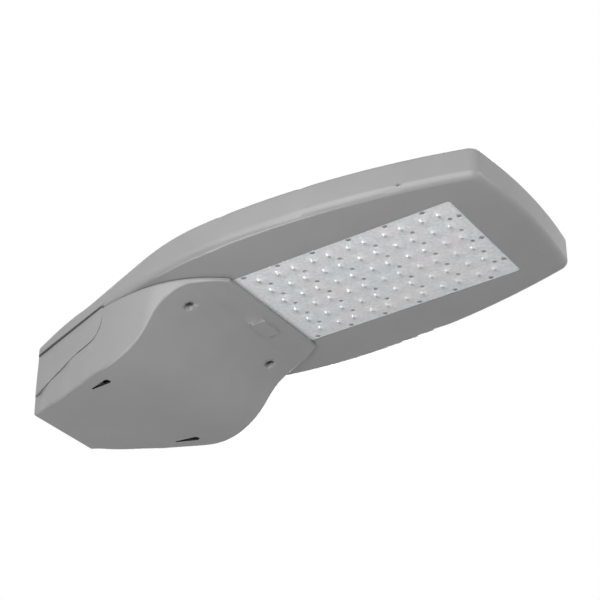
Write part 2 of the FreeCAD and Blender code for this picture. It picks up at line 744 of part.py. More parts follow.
def housing_holes():
    """Every drilled and tapped hole of the casting."""
    holes = hinge_bores()
    holes.append(rod(ARM_R + ARM_HOLE_CLEARANCE, V(REAR_X - CUT, 0, ARM_Z), X_AXIS,
                     2 * WALL + CUT))
    tapped = DOOR_SCREW_R + THREAD_CLEARANCE
    for y in both_sides(DOOR_SCREW_Y):
        holes.append(rod(tapped, V(DOOR_SCREW_X, y, -CUT), Z_AXIS,
                         CUT + DOOR_SCREW_GRIP + TAP_RUNOUT))
    for x, y in bolt_places():
        holes.append(rod(BOLT_R + THREAD_CLEARANCE, V(x, y, ARM_Z - SADDLE_DROP - CUT),
                         Z_AXIS, CUT + BOLT_GRIP + TAP_RUNOUT))
    mount = MOUNT_SCREW_R + THREAD_CLEARANCE
    tops = [(driver_screw_places(), DRIVER_TOP_Z), (surge_screw_places(), SURGE_TOP_Z),
            (block_screw_places(), BLOCK_TOP_Z), ([(GROUND_X, GROUND_Y)], GROUND_BOSS_Z)]
    for places, z in tops:
        for x, y in places:
            holes.append(rod(mount, V(x, y, z - CUT), Z_AXIS, CUT + roof_z(x) - z + TAP_RUNOUT))
    ledge_z = PANEL_RECESS + PANEL_T + GASKET_T
    for x, y in edge_screw_places():
        holes.append(rod(EDGE_SCREW_R + THREAD_CLEARANCE, V(x, y, ledge_z - CUT), Z_AXIS,
                         CUT + EDGE_SCREW_GRIP + TAP_RUNOUT))
    for x, y in board_screw_places():
        holes.append(rod(BOARD_SCREW_R + THREAD_CLEARANCE, V(x, y, BAY_DEPTH - CUT), Z_AXIS,
                         CUT + BOARD_SCREW_GRIP + TAP_RUNOUT))
    grommet_x = PANEL_REAR_X - PANEL_CLEARANCE - BULKHEAD_T
    holes.append(rod(GROMMET_R, V(grommet_x - CUT, grommet_y(), GROMMET_Z), X_AXIS,
                     CUT + BULKHEAD_T + LEDGE_WIDTH))
    for y in both_sides(HEAD_WIDTH / 2 - FIN_PITCH):
        outward = math.copysign(FIN_PITCH, y)
        low, high = sorted((y - outward, y + outward))
        holes.append(box(DRAIN_X - DRAIN_W / 2, DRAIN_X + DRAIN_W / 2, low, high,
                         RIM_R - DRAIN_W, RIM_R).common(head_prism(-CUT, 0, RIM_R)))
    return holes


# Pieces of the door

def slot_cutter(y):
    """Tapered slot, round at the lamp end and pointed at the arm end."""
    low = BELLY_Z - CUT
    head = V(SLOT_HEAD_X, y, low)
    tip = V(SLOT_HEAD_X - SLOT_LENGTH, y, low)
    turn = math.copysign(SLOT_TURN, y)
    lean = math.asin((SLOT_HEAD_R - SLOT_TIP_R) / SLOT_LENGTH)
    out = V(-math.sin(lean), math.cos(lean), 0)
    other = V(-math.sin(lean), -math.cos(lean), 0)
    edges = [Part.Arc(head + out * SLOT_HEAD_R, head + X_AXIS * SLOT_HEAD_R,
                      head + other * SLOT_HEAD_R).toShape(),
             Part.Arc(tip + out * SLOT_TIP_R, tip - X_AXIS * SLOT_TIP_R,
                      tip + other * SLOT_TIP_R).toShape(),
             line(head + out * SLOT_HEAD_R, tip + out * SLOT_TIP_R),
             line(head + other * SLOT_HEAD_R, tip + other * SLOT_TIP_R)]
    slot = Part.Face(Part.Wire(Part.__sortEdges__(edges))).extrude(V(0, 0, CUT + 3 * DOOR_WALL))
    slot.rotate(head, Z_AXIS, turn)
    return slot


def door_knuckles():
    """The door's own knuckles, one between each pair of housing lugs."""
    return [rod(HINGE_BARREL_R, V(HINGE_X, y - HINGE_DOOR_KNUCKLE / 2, HINGE_Z), Y_AXIS,
                HINGE_DOOR_KNUCKLE) for y in both_sides(HINGE_Y)]


def lug_notches():
    """Gaps in the door's rear wall where the housing's lugs pass."""
    notches = []
    reach = HINGE_BARREL_R + HINGE_SWING_GAP
    for side in both_sides(HINGE_Y):
        for step in (-1, 1):
            near = side + step * HINGE_DOOR_KNUCKLE / 2
            far = near + step * (HINGE_LUG + 2 * HINGE_GAP)
            low, high = sorted((near, far))
            notches.append(box(HINGE_X - reach, HINGE_X + reach, low, high,
                               HINGE_Z - reach, SKIRT_REAR_Z))
    return notches


def driver_door():
    """Deep drafted shell with a flat front ledge, a steep ramp and a long belly."""
    body = door_form(DOOR_FRONT_X, REAR_X, 0, 0, SKIN)
    body = body.cut(rear_corner_cutters()).common(below_seam())
    inner = door_form(DOOR_FRONT_X - LIP_LENGTH, REAR_X + DOOR_WALL, DOOR_WALL, DOOR_WALL, SKIN)
    shell = body.cut(inner)
    adds = door_knuckles()
    for y in both_sides(DOOR_SCREW_Y):
        post = rod(DOOR_BOSS_R, V(DOOR_SCREW_X, y, BELLY_Z), Z_AXIS, -DOOR_GAP - BELLY_Z)
        adds.append(post.common(body))
    tab = rounded_box(FINGER_TAB_X - FINGER_TAB_LENGTH, FINGER_TAB_X,
                      FINGER_TAB_Y - FINGER_TAB_WIDTH / 2, FINGER_TAB_Y + FINGER_TAB_WIDTH / 2,
                      LEDGE_REAR_Z - FINGER_TAB_DROP, LEDGE_FRONT_Z + 1,
                      FINGER_TAB_CORNER_R)
    adds.append(tab)
    shell = shell.fuse(adds)
    cuts = hinge_bores() + lug_notches() + [slot_cutter(y) for y in both_sides(SLOT_Y)]
    for y in both_sides(DOOR_SCREW_Y):
        cuts.append(rod(DOOR_POCKET_R, V(DOOR_SCREW_X, y, BELLY_Z), Z_AXIS,
                        DOOR_SEAT_Z - BELLY_Z))
        cuts.append(rod(DOOR_SCREW_R + SCREW_CLEARANCE, V(DOOR_SCREW_X, y, DOOR_SEAT_Z - CUT),
                        Z_AXIS, 2 * CUT - DOOR_SEAT_Z))
        cuts.append(rod(RETAINER_R + RETAINER_CLEARANCE, V(DOOR_SCREW_X, y, retainer_z()),
                        Z_AXIS, -retainer_z()))
    return shell.cut(cuts).removeSplitter()


def door_screw(y):
    """Socket screw whose shank stops in the housing's boss."""
    head = rod(DOOR_SCREW_HEAD_R, V(DOOR_SCREW_X, y, DOOR_SEAT_Z - DOOR_SCREW_HEAD_H), Z_AXIS,
               DOOR_SCREW_HEAD_H)
    shank = rod(DOOR_SCREW_R, V(DOOR_SCREW_X, y, DOOR_SEAT_Z), Z_AXIS,
                DOOR_SCREW_GRIP - DOOR_SEAT_Z)
    low = V(DOOR_SCREW_X, y, DOOR_SEAT_Z - DOOR_SCREW_HEAD_H - CUT)
    return head.fuse(shank).cut(hexagon(low, HEX_SOCKET_R, DOOR_SCREW_HEAD_H))


def hexagon(base, corner_radius, height):
    """Upright six-sided bar."""
    points = [base + V(corner_radius * math.cos(math.radians(60 * k)),
                       corner_radius * math.sin(math.radians(60 * k)), 0) for k in range(7)]
    return Part.Face(Part.makePolygon(points)).extrude(V(0, 0, height))


def retainer_z():
    """Floor of the recess for the screw's retaining ring, in the door's boss."""
    return -DOOR_GAP - RETAINER_T - RETAINER_CLEARANCE


def screw_retainer(y):
    """Split ring on the shank, flush in the door's boss."""
    base = V(DOOR_SCREW_X, y, retainer_z())
    ring = rod(RETAINER_R, base, Z_AXIS, RETAINER_T)
    return ring.cut(rod(DOOR_SCREW_R + THREAD_CLEARANCE, base - Z_AXIS * CUT, Z_AXIS,
                        RETAINER_T + 2 * CUT))


# Arm clamp

def clamp_strap(x):
    """Pressed strap below the arm: a curved middle and a flat wing at each bolt."""
    low_x = x - CLAMP_LENGTH / 2
    centre = V(low_x, 0, ARM_Z)
    bore = rod(ARM_R + ARM_CLEARANCE, centre - X_AXIS * CUT, X_AXIS,
               CLAMP_LENGTH + 2 * CUT)
    hoop = rod(ARM_R + ARM_CLEARANCE + CLAMP_T, centre, X_AXIS, CLAMP_LENGTH)
    wing_top = ARM_Z - SADDLE_DROP - CLAMP_GAP
    wing_low = wing_top - CLAMP_T
    half = ARM_R + BOLT_MARGIN + CLAMP_WING
    under = box(low_x, low_x + CLAMP_LENGTH, -half, half, BELLY_Z, wing_top)
    wings = rounded_box(low_x, low_x + CLAMP_LENGTH, -half, half, wing_low, wing_top,
                        CLAMP_CORNER_R)
    body = hoop.common(under).fuse(wings).cut(bore)
    holes = [rod(BOLT_R + SCREW_CLEARANCE, V(x, y, BELLY_Z), Z_AXIS, -BELLY_Z)
             for y in both_sides(ARM_R + BOLT_MARGIN)]
    return body.cut(holes).removeSplitter()


def clamp_bolt(x, y):
    """Hexagon bolt from below, through the strap into the saddle."""
    seat = ARM_Z - SADDLE_DROP - CLAMP_GAP - CLAMP_T
    head = hexagon(V(x, y, seat - BOLT_HEAD_H), BOLT_HEAD_AF / math.sqrt(3), BOLT_HEAD_H)
    shank = rod(BOLT_R, V(x, y, seat), Z_AXIS, CLAMP_T + CLAMP_GAP + BOLT_GRIP)
    return head.fuse(shank)


def arm_seal():
    """Pliable plate inside the rear wall with a snug hole for the arm."""
    x = REAR_X + WALL
    low = SKIRT_REAR_Z + SEAL_GAP
    high = NECK_REAR - SKIN - SEAL_GAP
    half = ARM_R + SEAL_MARGIN
    corners = [V(x, -half, low), V(x, half, low), V(x, half, high), V(x, -half, high)]
    body = plate([(corner, SEAL_CORNER_R) for corner in corners], V(SEAL_T, 0, 0))
    return body.cut(rod(ARM_R + SEAL_CLEARANCE, V(x - CUT, 0, ARM_Z), X_AXIS, SEAL_T + 2 * CUT))


def hinge_pin(y):
    reach = HINGE_DOOR_KNUCKLE / 2 + HINGE_GAP + HINGE_LUG
    return rod(HINGE_PIN_R, V(HINGE_X, y - reach, HINGE_Z), Y_AXIS, 2 * reach)


# Lens panel and boards

def led_row_pitch():
    return (PANEL_WIDTH - 2 * LED_MARGIN) / (LED_ROWS - 1)


def edge_screw_places():
    """Screws along both sides, one pair a module, and three across the front."""
    places = [(EDGE_SCREW_X + k * MODULE_PITCH, y)
              for k in range(MODULES) for y in both_sides(PANEL_WIDTH / 2 - EDGE_SCREW_MARGIN)]
    return places + [(PANEL_FRONT_X - END_SCREW_MARGIN, 2 * k * led_row_pitch())
                     for k in (-1, 0, 1)]


def board_screw_places():
    """Screws between the LED rows, one column a module."""
    rows = LED_ROWS - 1
    return [(FIRST_LED_X + BOARD_SCREW_OFFSET + k * MODULE_PITCH,
             (row - (rows - 1) / 2) * led_row_pitch())
            for k in range(MODULES) for row in range(rows)]


def led_places(module):
    """The LEDs of one board: two columns across the panel."""
    first = FIRST_LED_X + module * MODULE_PITCH
    return [(x, (row - (LED_ROWS - 1) / 2) * led_row_pitch())
            for x in (first, first + LED_PAIR) for row in range(LED_ROWS)]


def visible_leds():
    """LEDs that lie within the bay."""
    rear = PANEL_REAR_X + LEDGE_WIDTH / 2 + LENS_CUP_R
    return [(x, y) for k in range(MODULES) for x, y in led_places(k) if x > rear]


def lens_plate():
    """Clear moulded sheet with one cup over each LED."""
    half = PANEL_WIDTH / 2
    sheet = rounded_box(PANEL_REAR_X, PANEL_FRONT_X, -half, half, PANEL_RECESS,
                        PANEL_RECESS + PANEL_T, PANEL_CORNER_R)
    top = PANEL_RECESS + PANEL_T
    cuts = [Part.makeCone(LENS_CUP_FLOOR_R, LENS_CUP_R, LENS_CUP_DEPTH,
                          V(x, y, top - LENS_CUP_DEPTH)) for x, y in visible_leds()]
    for x, y in edge_screw_places():
        cuts.append(rod(EDGE_SCREW_R + SCREW_CLEARANCE, V(x, y, PANEL_RECESS - CUT), Z_AXIS,
                        PANEL_T + 2 * CUT))
        cuts.append(rod(EDGE_SCREW_HEAD_R + SCREW_CLEARANCE, V(x, y, PANEL_RECESS - CUT),
                        Z_AXIS, EDGE_SCREW_HEAD_H + CUT))
    return sheet.cut(cuts)


def lens_gasket():
    """Flat seal between the sheet and the bay's ledge."""
    half = PANEL_WIDTH / 2
    low = PANEL_RECESS + PANEL_T
    inner_half = half - LEDGE_WIDTH
    ring = rounded_box(PANEL_REAR_X, PANEL_FRONT_X, -half, half, low, low + GASKET_T,
                       PANEL_CORNER_R)
    hole = rounded_box(PANEL_REAR_X + LEDGE_WIDTH / 2, PANEL_FRONT_X - LEDGE_WIDTH,
                       -inner_half, inner_half, low - CUT, low + GASKET_T + CUT, PANEL_CORNER_R)
    holes = [rod(EDGE_SCREW_R + SCREW_CLEARANCE, V(x, y, low - CUT), Z_AXIS, GASKET_T + 2 * CUT)
             for x, y in edge_screw_places()]
    return ring.cut([hole] + holes)


def edge_screw(x, y):
    low = PANEL_RECESS
    head = rod(EDGE_SCREW_HEAD_R, V(x, y, low), Z_AXIS, EDGE_SCREW_HEAD_H)
    length = PANEL_T - EDGE_SCREW_HEAD_H + GASKET_T + EDGE_SCREW_GRIP
    return head.fuse(rod(EDGE_SCREW_R, V(x, y, low + EDGE_SCREW_HEAD_H), Z_AXIS, length))


def board_span(module):
    """Front and rear edge of one board, kept inside the bay."""
    middle = FIRST_LED_X + module * MODULE_PITCH + LED_PAIR / 2
    rear = middle - MODULE_PITCH / 2 + MODULE_GAP / 2
    front = middle + MODULE_PITCH / 2 - MODULE_GAP / 2
    bay_rear = PANEL_REAR_X + LEDGE_WIDTH / 2 + MODULE_GAP
    bay_front = PANEL_FRONT_X - LEDGE_WIDTH - MODULE_GAP
    return max(rear, bay_rear), min(front, bay_front)


def led_board(module):
    """One circuit board with its LEDs' copper side down."""
    rear, front = board_span(module)
    half = PANEL_WIDTH / 2 - LEDGE_WIDTH - MODULE_GAP
    board = box(rear, front, -half, half, BAY_DEPTH - BOARD_T, BAY_DEPTH)
    cuts = [rod(BOARD_SCREW_R + SCREW_CLEARANCE, V(x, y, 0), Z_AXIS, BAY_DEPTH + CUT)
            for x, y in board_screw_places()]
    return board.cut(cuts)


def led_chips():
    low = BAY_DEPTH - BOARD_T - LED_H
    half = LED_SIZE / 2
    return [box(x - half, x + half, y - half, y + half, low, low + LED_H)
            for x, y in visible_leds()]


def board_screw(x, y):
    seat = BAY_DEPTH - BOARD_T
    head = rod(BOARD_SCREW_HEAD_R, V(x, y, seat - BOARD_SCREW_HEAD_H), Z_AXIS,
               BOARD_SCREW_HEAD_H)
    return head.fuse(rod(BOARD_SCREW_R, V(x, y, seat), Z_AXIS, BOARD_T + BOARD_SCREW_GRIP))


# Driver compartment

def mount_screw(x, y, seat, plate_t):
    """Pan screw from below through a foot into a roof boss."""
    head = rod(MOUNT_SCREW_HEAD_R, V(x, y, seat - MOUNT_SCREW_HEAD_H), Z_AXIS,
               MOUNT_SCREW_HEAD_H)
    length = min(plate_t + MOUNT_SCREW_GRIP, roof_z(x) - seat)
    return head.fuse(rod(MOUNT_SCREW_R, V(x, y, seat), Z_AXIS, length))


def led_driver():
    """Potted metal case with a screw flange at each end."""
    rear_x = DRIVER_FRONT_X - DRIVER_WIDTH
    half = DRIVER_LENGTH / 2
    case = box(rear_x, DRIVER_FRONT_X, -half, half, DRIVER_TOP_Z - DRIVER_HEIGHT, DRIVER_TOP_Z)
    long_edges = [e for e in case.Edges if e.BoundBox.YLength > half
                  and e.BoundBox.ZMax < DRIVER_TOP_Z - 1]
    case = case.makeFillet(DRIVER_EDGE_R, long_edges)
    middle = (rear_x + DRIVER_FRONT_X) / 2
    reach = half + DRIVER_FLANGE_LENGTH
    flange = rounded_box(middle - DRIVER_FLANGE_WIDTH / 2, middle + DRIVER_FLANGE_WIDTH / 2,
                         -reach, reach, DRIVER_TOP_Z - DRIVER_FLANGE_T, DRIVER_TOP_Z, FOOT_CORNER_R)
    holes = [rod(MOUNT_SCREW_R + SCREW_CLEARANCE, V(x, y, 0), Z_AXIS, HEAD_TOP)
             for x, y in driver_screw_places()]
    return case.fuse(flange).cut(holes)


def surge_protector():
    """Round potted module on a square foot."""
    foot = rounded_box(SURGE_X - SURGE_R, SURGE_X + SURGE_R, SURGE_Y - SURGE_FOOT / 2,
                       SURGE_Y + SURGE_FOOT / 2, SURGE_TOP_Z - FOOT_T, SURGE_TOP_Z,
                       FOOT_CORNER_R)
    can = rod(SURGE_R - MOUNT_SCREW_HEAD_R, V(SURGE_X, SURGE_Y, SURGE_TOP_Z - SURGE_HEIGHT),
              Z_AXIS, SURGE_HEIGHT - FOOT_T)
    holes = [rod(MOUNT_SCREW_R + SCREW_CLEARANCE, V(x, y, 0), Z_AXIS, HEAD_TOP)
             for x, y in surge_screw_places()]
    return foot.fuse(can).cut(holes)


def terminal_block():
    """Moulded block with a screw well for each pole and a low foot at each end."""
    half = BLOCK_WIDTH / 2
    ear = block_ear()
    low = BLOCK_TOP_Z - BLOCK_HEIGHT
    body = box(BLOCK_X - BLOCK_DEPTH / 2, BLOCK_X + BLOCK_DEPTH / 2, BLOCK_Y - half + ear,
               BLOCK_Y + half - ear, low, BLOCK_TOP_Z)
    foot = rounded_box(BLOCK_X - BLOCK_DEPTH / 2, BLOCK_X + BLOCK_DEPTH / 2, BLOCK_Y - half,
                       BLOCK_Y + half, BLOCK_TOP_Z - FOOT_T, BLOCK_TOP_Z, FOOT_CORNER_R)
    cuts = [rod(MOUNT_SCREW_R + SCREW_CLEARANCE, V(x, y, 0), Z_AXIS, HEAD_TOP)
            for x, y in block_screw_places()]
    for x, y in pole_places():
        cuts.append(rod(BLOCK_SCREW_R + SCREW_CLEARANCE, V(x, y, low - CUT), Z_AXIS,
                        BLOCK_SCREW_DEPTH + CUT))
    return body.fuse(foot).cut(cuts)


def pole_places():
    pitch = (BLOCK_WIDTH - 2 * block_ear()) / BLOCK_POLES
    first = BLOCK_Y - pitch * (BLOCK_POLES - 1) / 2
    reach = BLOCK_DEPTH / 4
    return [(BLOCK_X + side, first + k * pitch) for k in range(BLOCK_POLES)
            for side in both_sides(reach)]


def pole_screw(x, y):
    """Wire screw at the bottom of its well."""
    seat = BLOCK_TOP_Z - BLOCK_HEIGHT + BLOCK_SCREW_DEPTH
    return rod(BLOCK_SCREW_R, V(x, y, seat - BLOCK_SCREW_DEPTH / 2), Z_AXIS,
               BLOCK_SCREW_DEPTH / 2)


def grommet_y():
    return GROMMET_MARGIN - PANEL_WIDTH / 2


def wire_grommet():
    """Flanged sleeve where the LED leads pass the bulkhead."""
    x = PANEL_REAR_X - PANEL_CLEARANCE - BULKHEAD_T
    flange = rod(GROMMET_FLANGE_R, V(x - GROMMET_FLANGE_T, grommet_y(), GROMMET_Z), X_AXIS,
                 GROMMET_FLANGE_T)
    sleeve = rod(GROMMET_R - THREAD_CLEARANCE, V(x, grommet_y(), GROMMET_Z), X_AXIS,
                 BULKHEAD_T + LEDGE_WIDTH / 2)
    bore = rod(GROMMET_BORE_R, V(x - GROMMET_FLANGE_T - CUT, grommet_y(), GROMMET_Z), X_AXIS,
               BULKHEAD_T + LEDGE_WIDTH)
    return flange.fuse(sleeve).cut(bore)


def build():
    os.makedirs("parts", exist_ok=True)
    save("upper_housing", [upper_housing()])
    save("driver_door", [driver_door()])
    save("door_screws", [door_screw(y) for y in both_sides(DOOR_SCREW_Y)])
    save("screw_retainers", [screw_retainer(y) for y in both_sides(DOOR_SCREW_Y)])
    save("hinge_pins", [hinge_pin(y) for y in both_sides(HINGE_Y)])
    save("arm_clamp_rear", [clamp_strap(CLAMP_REAR_X)])
    save("arm_clamp_front", [clamp_strap(CLAMP_FRONT_X)])
    save("clamp_bolts", [clamp_bolt(x, y) for x, y in bolt_places()])
    save("arm_seal", [arm_seal()])
    save("lens_plate", [lens_plate()])
    save("lens_gasket", [lens_gasket()])
    save("lens_screws", [edge_screw(x, y) for x, y in edge_screw_places()])
    for module in range(MODULES):
        save("led_board_" + str(module + 1), [led_board(module)])
    save("led_chips", led_chips())
    save("board_screws", [board_screw(x, y) for x, y in board_screw_places()])
    save("led_driver", [led_driver()])
    driver_seat = DRIVER_TOP_Z - DRIVER_FLANGE_T
    save("driver_screws", [mount_screw(x, y, driver_seat, DRIVER_FLANGE_T)
                           for x, y in driver_screw_places()])
    save("surge_protector", [surge_protector()])
    surge_seat = SURGE_TOP_Z - FOOT_T
    save("surge_screws", [mount_screw(x, y, surge_seat, FOOT_T)
                          for x, y in surge_screw_places()])
    save("terminal_block", [terminal_block()])
    block_seat = BLOCK_TOP_Z - FOOT_T
    save("terminal_block_screws", [mount_screw(x, y, block_seat, FOOT_T)
                                   for x, y in block_screw_places()])
    save("terminal_screws", [pole_screw(x, y) for x, y in pole_places()])
    save("wire_grommet", [wire_grommet()])
    save("ground_screw", [mount_screw(GROUND_X, GROUND_Y, GROUND_BOSS_Z, 0)])


build()
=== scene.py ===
"""Looks of a cast street light head with an LED lens panel, seen from below.

The frame gives the castings, screws and inner devices. This script dresses them:
the castings get smooth shading and powder coat, the lens panel is a moulded sheet
with a lens over each LED, and the screws get their sockets.
"""
import json
import math
from contextlib import contextmanager

import bmesh
import bpy
import numpy as np
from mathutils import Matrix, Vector


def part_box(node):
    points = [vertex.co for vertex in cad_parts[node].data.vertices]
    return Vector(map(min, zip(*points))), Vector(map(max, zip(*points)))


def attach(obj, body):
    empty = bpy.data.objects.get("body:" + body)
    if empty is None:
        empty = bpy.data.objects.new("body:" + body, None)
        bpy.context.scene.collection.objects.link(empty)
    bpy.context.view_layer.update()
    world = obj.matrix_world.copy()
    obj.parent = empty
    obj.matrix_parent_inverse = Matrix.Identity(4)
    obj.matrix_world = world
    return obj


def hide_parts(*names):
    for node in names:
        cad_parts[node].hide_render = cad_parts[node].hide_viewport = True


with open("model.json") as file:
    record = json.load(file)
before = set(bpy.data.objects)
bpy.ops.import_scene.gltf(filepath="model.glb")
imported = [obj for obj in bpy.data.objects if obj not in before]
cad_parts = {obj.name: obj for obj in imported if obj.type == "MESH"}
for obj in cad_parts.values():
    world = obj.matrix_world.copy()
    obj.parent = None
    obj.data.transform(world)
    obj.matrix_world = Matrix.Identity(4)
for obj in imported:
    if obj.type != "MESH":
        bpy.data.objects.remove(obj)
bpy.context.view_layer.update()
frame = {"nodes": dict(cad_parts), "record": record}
MM = 0.001
QUARTER_TURN = math.pi / 2

# View of the photograph
VIEW_AZIMUTH = math.radians(33.75)
VIEW_ELEVATION = math.radians(-31.75)
VIEW_DISTANCE = 2.1927
VIEW_AIM = Vector((0.2980, 0.0105, 0.0241))
VIEW_LENS = 105.68

# Studio
FLOOR_Z = -2.6
FLOOR_HALF = 30.0
FLOOR_GLOW = 0.55
AMBIENT = 0.23

# Places of faces on the castings where shade is painted on in a darker coat
SLOT_REAR, SLOT_FRONT = 45 * MM, 88 * MM
SLOT_CENTRE_Y, SLOT_REACH = 89 * MM, 14 * MM
SLOT_OUTER_Y = 104 * MM
SLOT_TOP = -67.5 * MM
STEP_REAR, STEP_FRONT = -68 * MM, 93 * MM
STEP_INNER_Y = 50 * MM
STEP_LOW_REAR, STEP_LOW_FALL = 24.4 * MM, 7.8 * MM
STEP_DEPTH_REAR, STEP_DEPTH_FALL = 2.4 * MM, 0.8 * MM
STEP_MARGIN = 0.2 * MM

# Moulded optics: half sizes along x and y, depths, and the two radii of each fade
SWELL_HALF, SWELL_DEPTH = (10.8 * MM, 13.2 * MM), 0.9 * MM
BEAD_HALF, BEAD_DEPTH = (5.4 * MM, 7.6 * MM), 1.9 * MM
DENT_RADIUS, DENT_DEPTH, DENT_OVAL = 1.8 * MM, 1.1 * MM, 0.85
# Radii and darkness of the painted images: an LED seen through its lens, a screw head with the
# shade in its well
LED_IMAGE, LED_IMAGE_LEVEL = (1.2 * MM, 3.1 * MM), 0.5
WELL_WALL, WELL_DEPTH = (2.0 * MM, 3.2 * MM), 0.9 * MM
WELL_IMAGE, WELL_IMAGE_LEVEL = (1.6 * MM, 3.7 * MM), 0.8
SEAT_WALL, SEAT_DEPTH = (2.9 * MM, 3.4 * MM), 1.85 * MM
PANEL_CORNER, PANEL_RIM = 4.0 * MM, 0.5 * MM

# Screws: shares of the head's radius, and lengths
HEAD_RIM, SOCKET_MOUTH = 0.95, 1.12
MOUTH_BEVEL, TIP_BEVEL, TIP_ZONE = 0.12 * MM, 0.3 * MM, 0.01 * MM


# Node materials

NOISE_LOW, NOISE_HIGH = 0.3, 0.7


def linear(red, green, blue):
    """Display colour from 0 to 255, as the linear value that a shader takes."""
    def one(value):
        value /= 255
        return value / 12.92 if value <= 0.04045 else ((value + 0.055) / 1.055) ** 2.4
    return one(red), one(green), one(blue), 1.0


def shade(colour, factor):
    """The same colour, lighter or darker."""
    return tuple(channel * factor for channel in colour[:3]) + (1.0,)


class Finish:
    """One node material with a few shorthands for wiring it.

    More of the shader's sockets may be set by name, with _ in place of a space.
    """

    def __init__(self, name, roughness=0.5, metallic=0.0, **sockets):
        self.material = bpy.data.materials.new(name)
        self.material.use_nodes = True
        self.nodes = self.material.node_tree.nodes
        self.links = self.material.node_tree.links
        self.shader = self.nodes["Principled BSDF"]
        self.shader.inputs["Roughness"].default_value = roughness
        self.shader.inputs["Metallic"].default_value = metallic
        for socket, value in sockets.items():
            self.shader.inputs[socket.replace("_", " ")].default_value = value
        self.place = self.nodes.new("ShaderNodeTexCoord").outputs["Object"]

    def feed(self, output, socket):
        """Wire an output to one of the shader's sockets."""
        self.links.new(output, self.shader.inputs[socket])

    def noise(self, size, detail=2.0):
        """Grey noise from 0 to 1 whose blotches are about `size` metres."""
        node = self.nodes.new("ShaderNodeTexNoise")
        node.inputs["Scale"].default_value = 1 / size
        node.inputs["Detail"].default_value = detail
        self.links.new(self.place, node.inputs["Vector"])
        return node.outputs["Fac"]

    def ramp(self, factor, stops):
        """Colour ramp between two stops, each a position and a colour."""
        node = self.nodes.new("ShaderNodeValToRGB")
        for element, (position, colour) in zip(node.color_ramp.elements, stops):
            element.position = position
            element.color = colour
        self.links.new(factor, node.inputs["Fac"])
        return node.outputs["Color"]

    def vary(self, factor, colour, spread):
        """A colour that gets darker and lighter by a share of itself."""
        return self.ramp(factor, [(NOISE_LOW, shade(colour, 1 - spread)),
                                  (NOISE_HIGH, shade(colour, 1 + spread))])

    def span(self, factor, low, high):
        """The factor's middle range mapped to low..high."""
        node = self.nodes.new("ShaderNodeMapRange")
        node.inputs["From Min"].default_value = NOISE_LOW
        node.inputs["From Max"].default_value = NOISE_HIGH
        node.inputs["To Min"].default_value = low
        node.inputs["To Max"].default_value = high
        self.links.new(factor, node.inputs["Value"])
        return node.outputs["Result"]

    def blend(self, factor, first, second):
        """Colour that goes from the first to the second as the factor goes from 0 to 1."""
        node = self.nodes.new("ShaderNodeMix")
        node.data_type = "RGBA"
        self.links.new(factor, node.inputs["Factor"])
        self.links.new(first, node.inputs["A"])
        if isinstance(second, tuple):
            node.inputs["B"].default_value = second
        else:
            self.links.new(second, node.inputs["B"])
        return node.outputs["Result"]

    def bump(self, height, strength, distance):
        """Relief on the whole surface, `distance` metres deep where the height goes 0 to 1."""
        node = self.nodes.new("ShaderNodeBump")
        node.inputs["Strength"].default_value = strength
        node.inputs["Distance"].default_value = distance
        self.links.new(height, node.inputs["Height"])
        self.feed(node.outputs["Normal"], "Normal")


def powder_coat():
    """Silver-grey coat with a fine orange peel and very faint clouds."""
    finish = Finish("powder_coat", roughness=0.33)
    clouds = finish.noise(60 * MM, detail=3.0)
    finish.feed(finish.vary(clouds, linear(153, 153, 153), spread=0.03), "Base Color")
    finish.feed(finish.span(finish.noise(4 * MM), 0.29, 0.38), "Roughness")
    finish.bump(finish.noise(1.2 * MM, detail=3.0), strength=0.2, distance=0.08 * MM)
    return finish.material


def plain_finish(name, colour, roughness, metallic, grain=2 * MM, spread=0.08):
    """Even finish whose colour, gloss and surface vary a little.

    Colour and surface vary grain by grain. The roughness goes from 0.85 to 1.2 times its
    value over blotches of three grains.
    """
    finish = Finish(name, roughness=roughness, metallic=metallic)
    grains = finish.noise(grain, detail=3.0)
    finish.feed(finish.vary(grains, colour, spread), "Base Color")
    blotches = finish.noise(grain * 3)
    finish.feed(finish.span(blotches, roughness * 0.85, roughness * 1.2), "Roughness")
    finish.bump(grains, strength=0.3, distance=0.03 * MM)
    return finish.material


def moulded_sheet():
    """Pale clear plastic, rippled by its optics.

    The sheet's own attribute for painted images is above 0 where the colour paints in a dark
    image:
    an LED seen through its lens, or a screw head and the shade in its well. It is 0 elsewhere.
    """
    finish = Finish("moulded_sheet", roughness=0.12, Alpha=0.93, Coat_Weight=0.4,
                    Coat_Roughness=0.05)
    painted_image = finish.nodes.new("ShaderNodeAttribute")
    painted_image.attribute_name = "painted_image"
    tint = finish.ramp(finish.noise(40 * MM, detail=1.0),
                       [(0.38, linear(222, 233, 238)), (0.62, linear(237, 232, 236))])
    ripples = finish.span(finish.noise(4.5 * MM, detail=4.0), 0.0, 1.0)
    pale = finish.blend(ripples, tint, linear(254, 255, 255))
    dark = finish.ramp(finish.noise(20 * MM),
                       [(0.35, linear(64, 66, 68)), (0.65, linear(132, 133, 130))])
    # Painted image: the pale sheet turns dark where an LED's image or a screw well's shade is
    # painted in
    finish.feed(finish.blend(painted_image.outputs["Fac"], pale, dark), "Base Color")
    finish.feed(finish.span(finish.noise(5 * MM), 0.08, 0.2), "Roughness")
    finish.bump(finish.noise(4 * MM, detail=3.0), strength=0.5, distance=0.6 * MM)
    return finish.material


